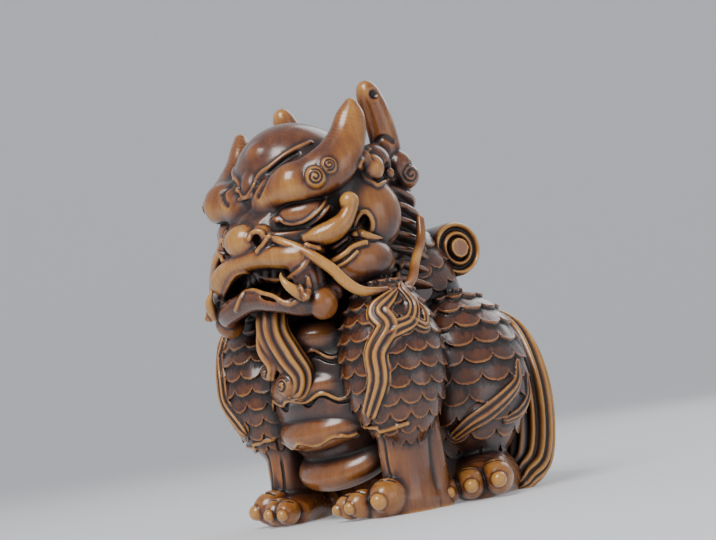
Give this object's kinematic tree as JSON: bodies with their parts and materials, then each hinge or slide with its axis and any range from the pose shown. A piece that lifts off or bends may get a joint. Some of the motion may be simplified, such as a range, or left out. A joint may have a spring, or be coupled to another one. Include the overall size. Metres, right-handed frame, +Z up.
{
  "type": "carved wooden figure",
  "caption": "Small carved boxwood qilin seated upright on its paws, with scaled body, curled beard, whiskers, horns, side tail and a scroll across its back.",
  "frame": {"origin": "in the plane of the soles, under the middle of the figure's box", "axes": "+Z up, -Y the way the animal faces, +X its left side"},
  "size_m": [0.0462, 0.0626, 0.0713],
  "materials": {
    "boxwood": "hand-polished dark reddish brown, waxed, with worn golden high spots and dark recesses"
  },
  "bodies": {
    "root": {"qilin": "boxwood"}
  },
  "joints": []
}
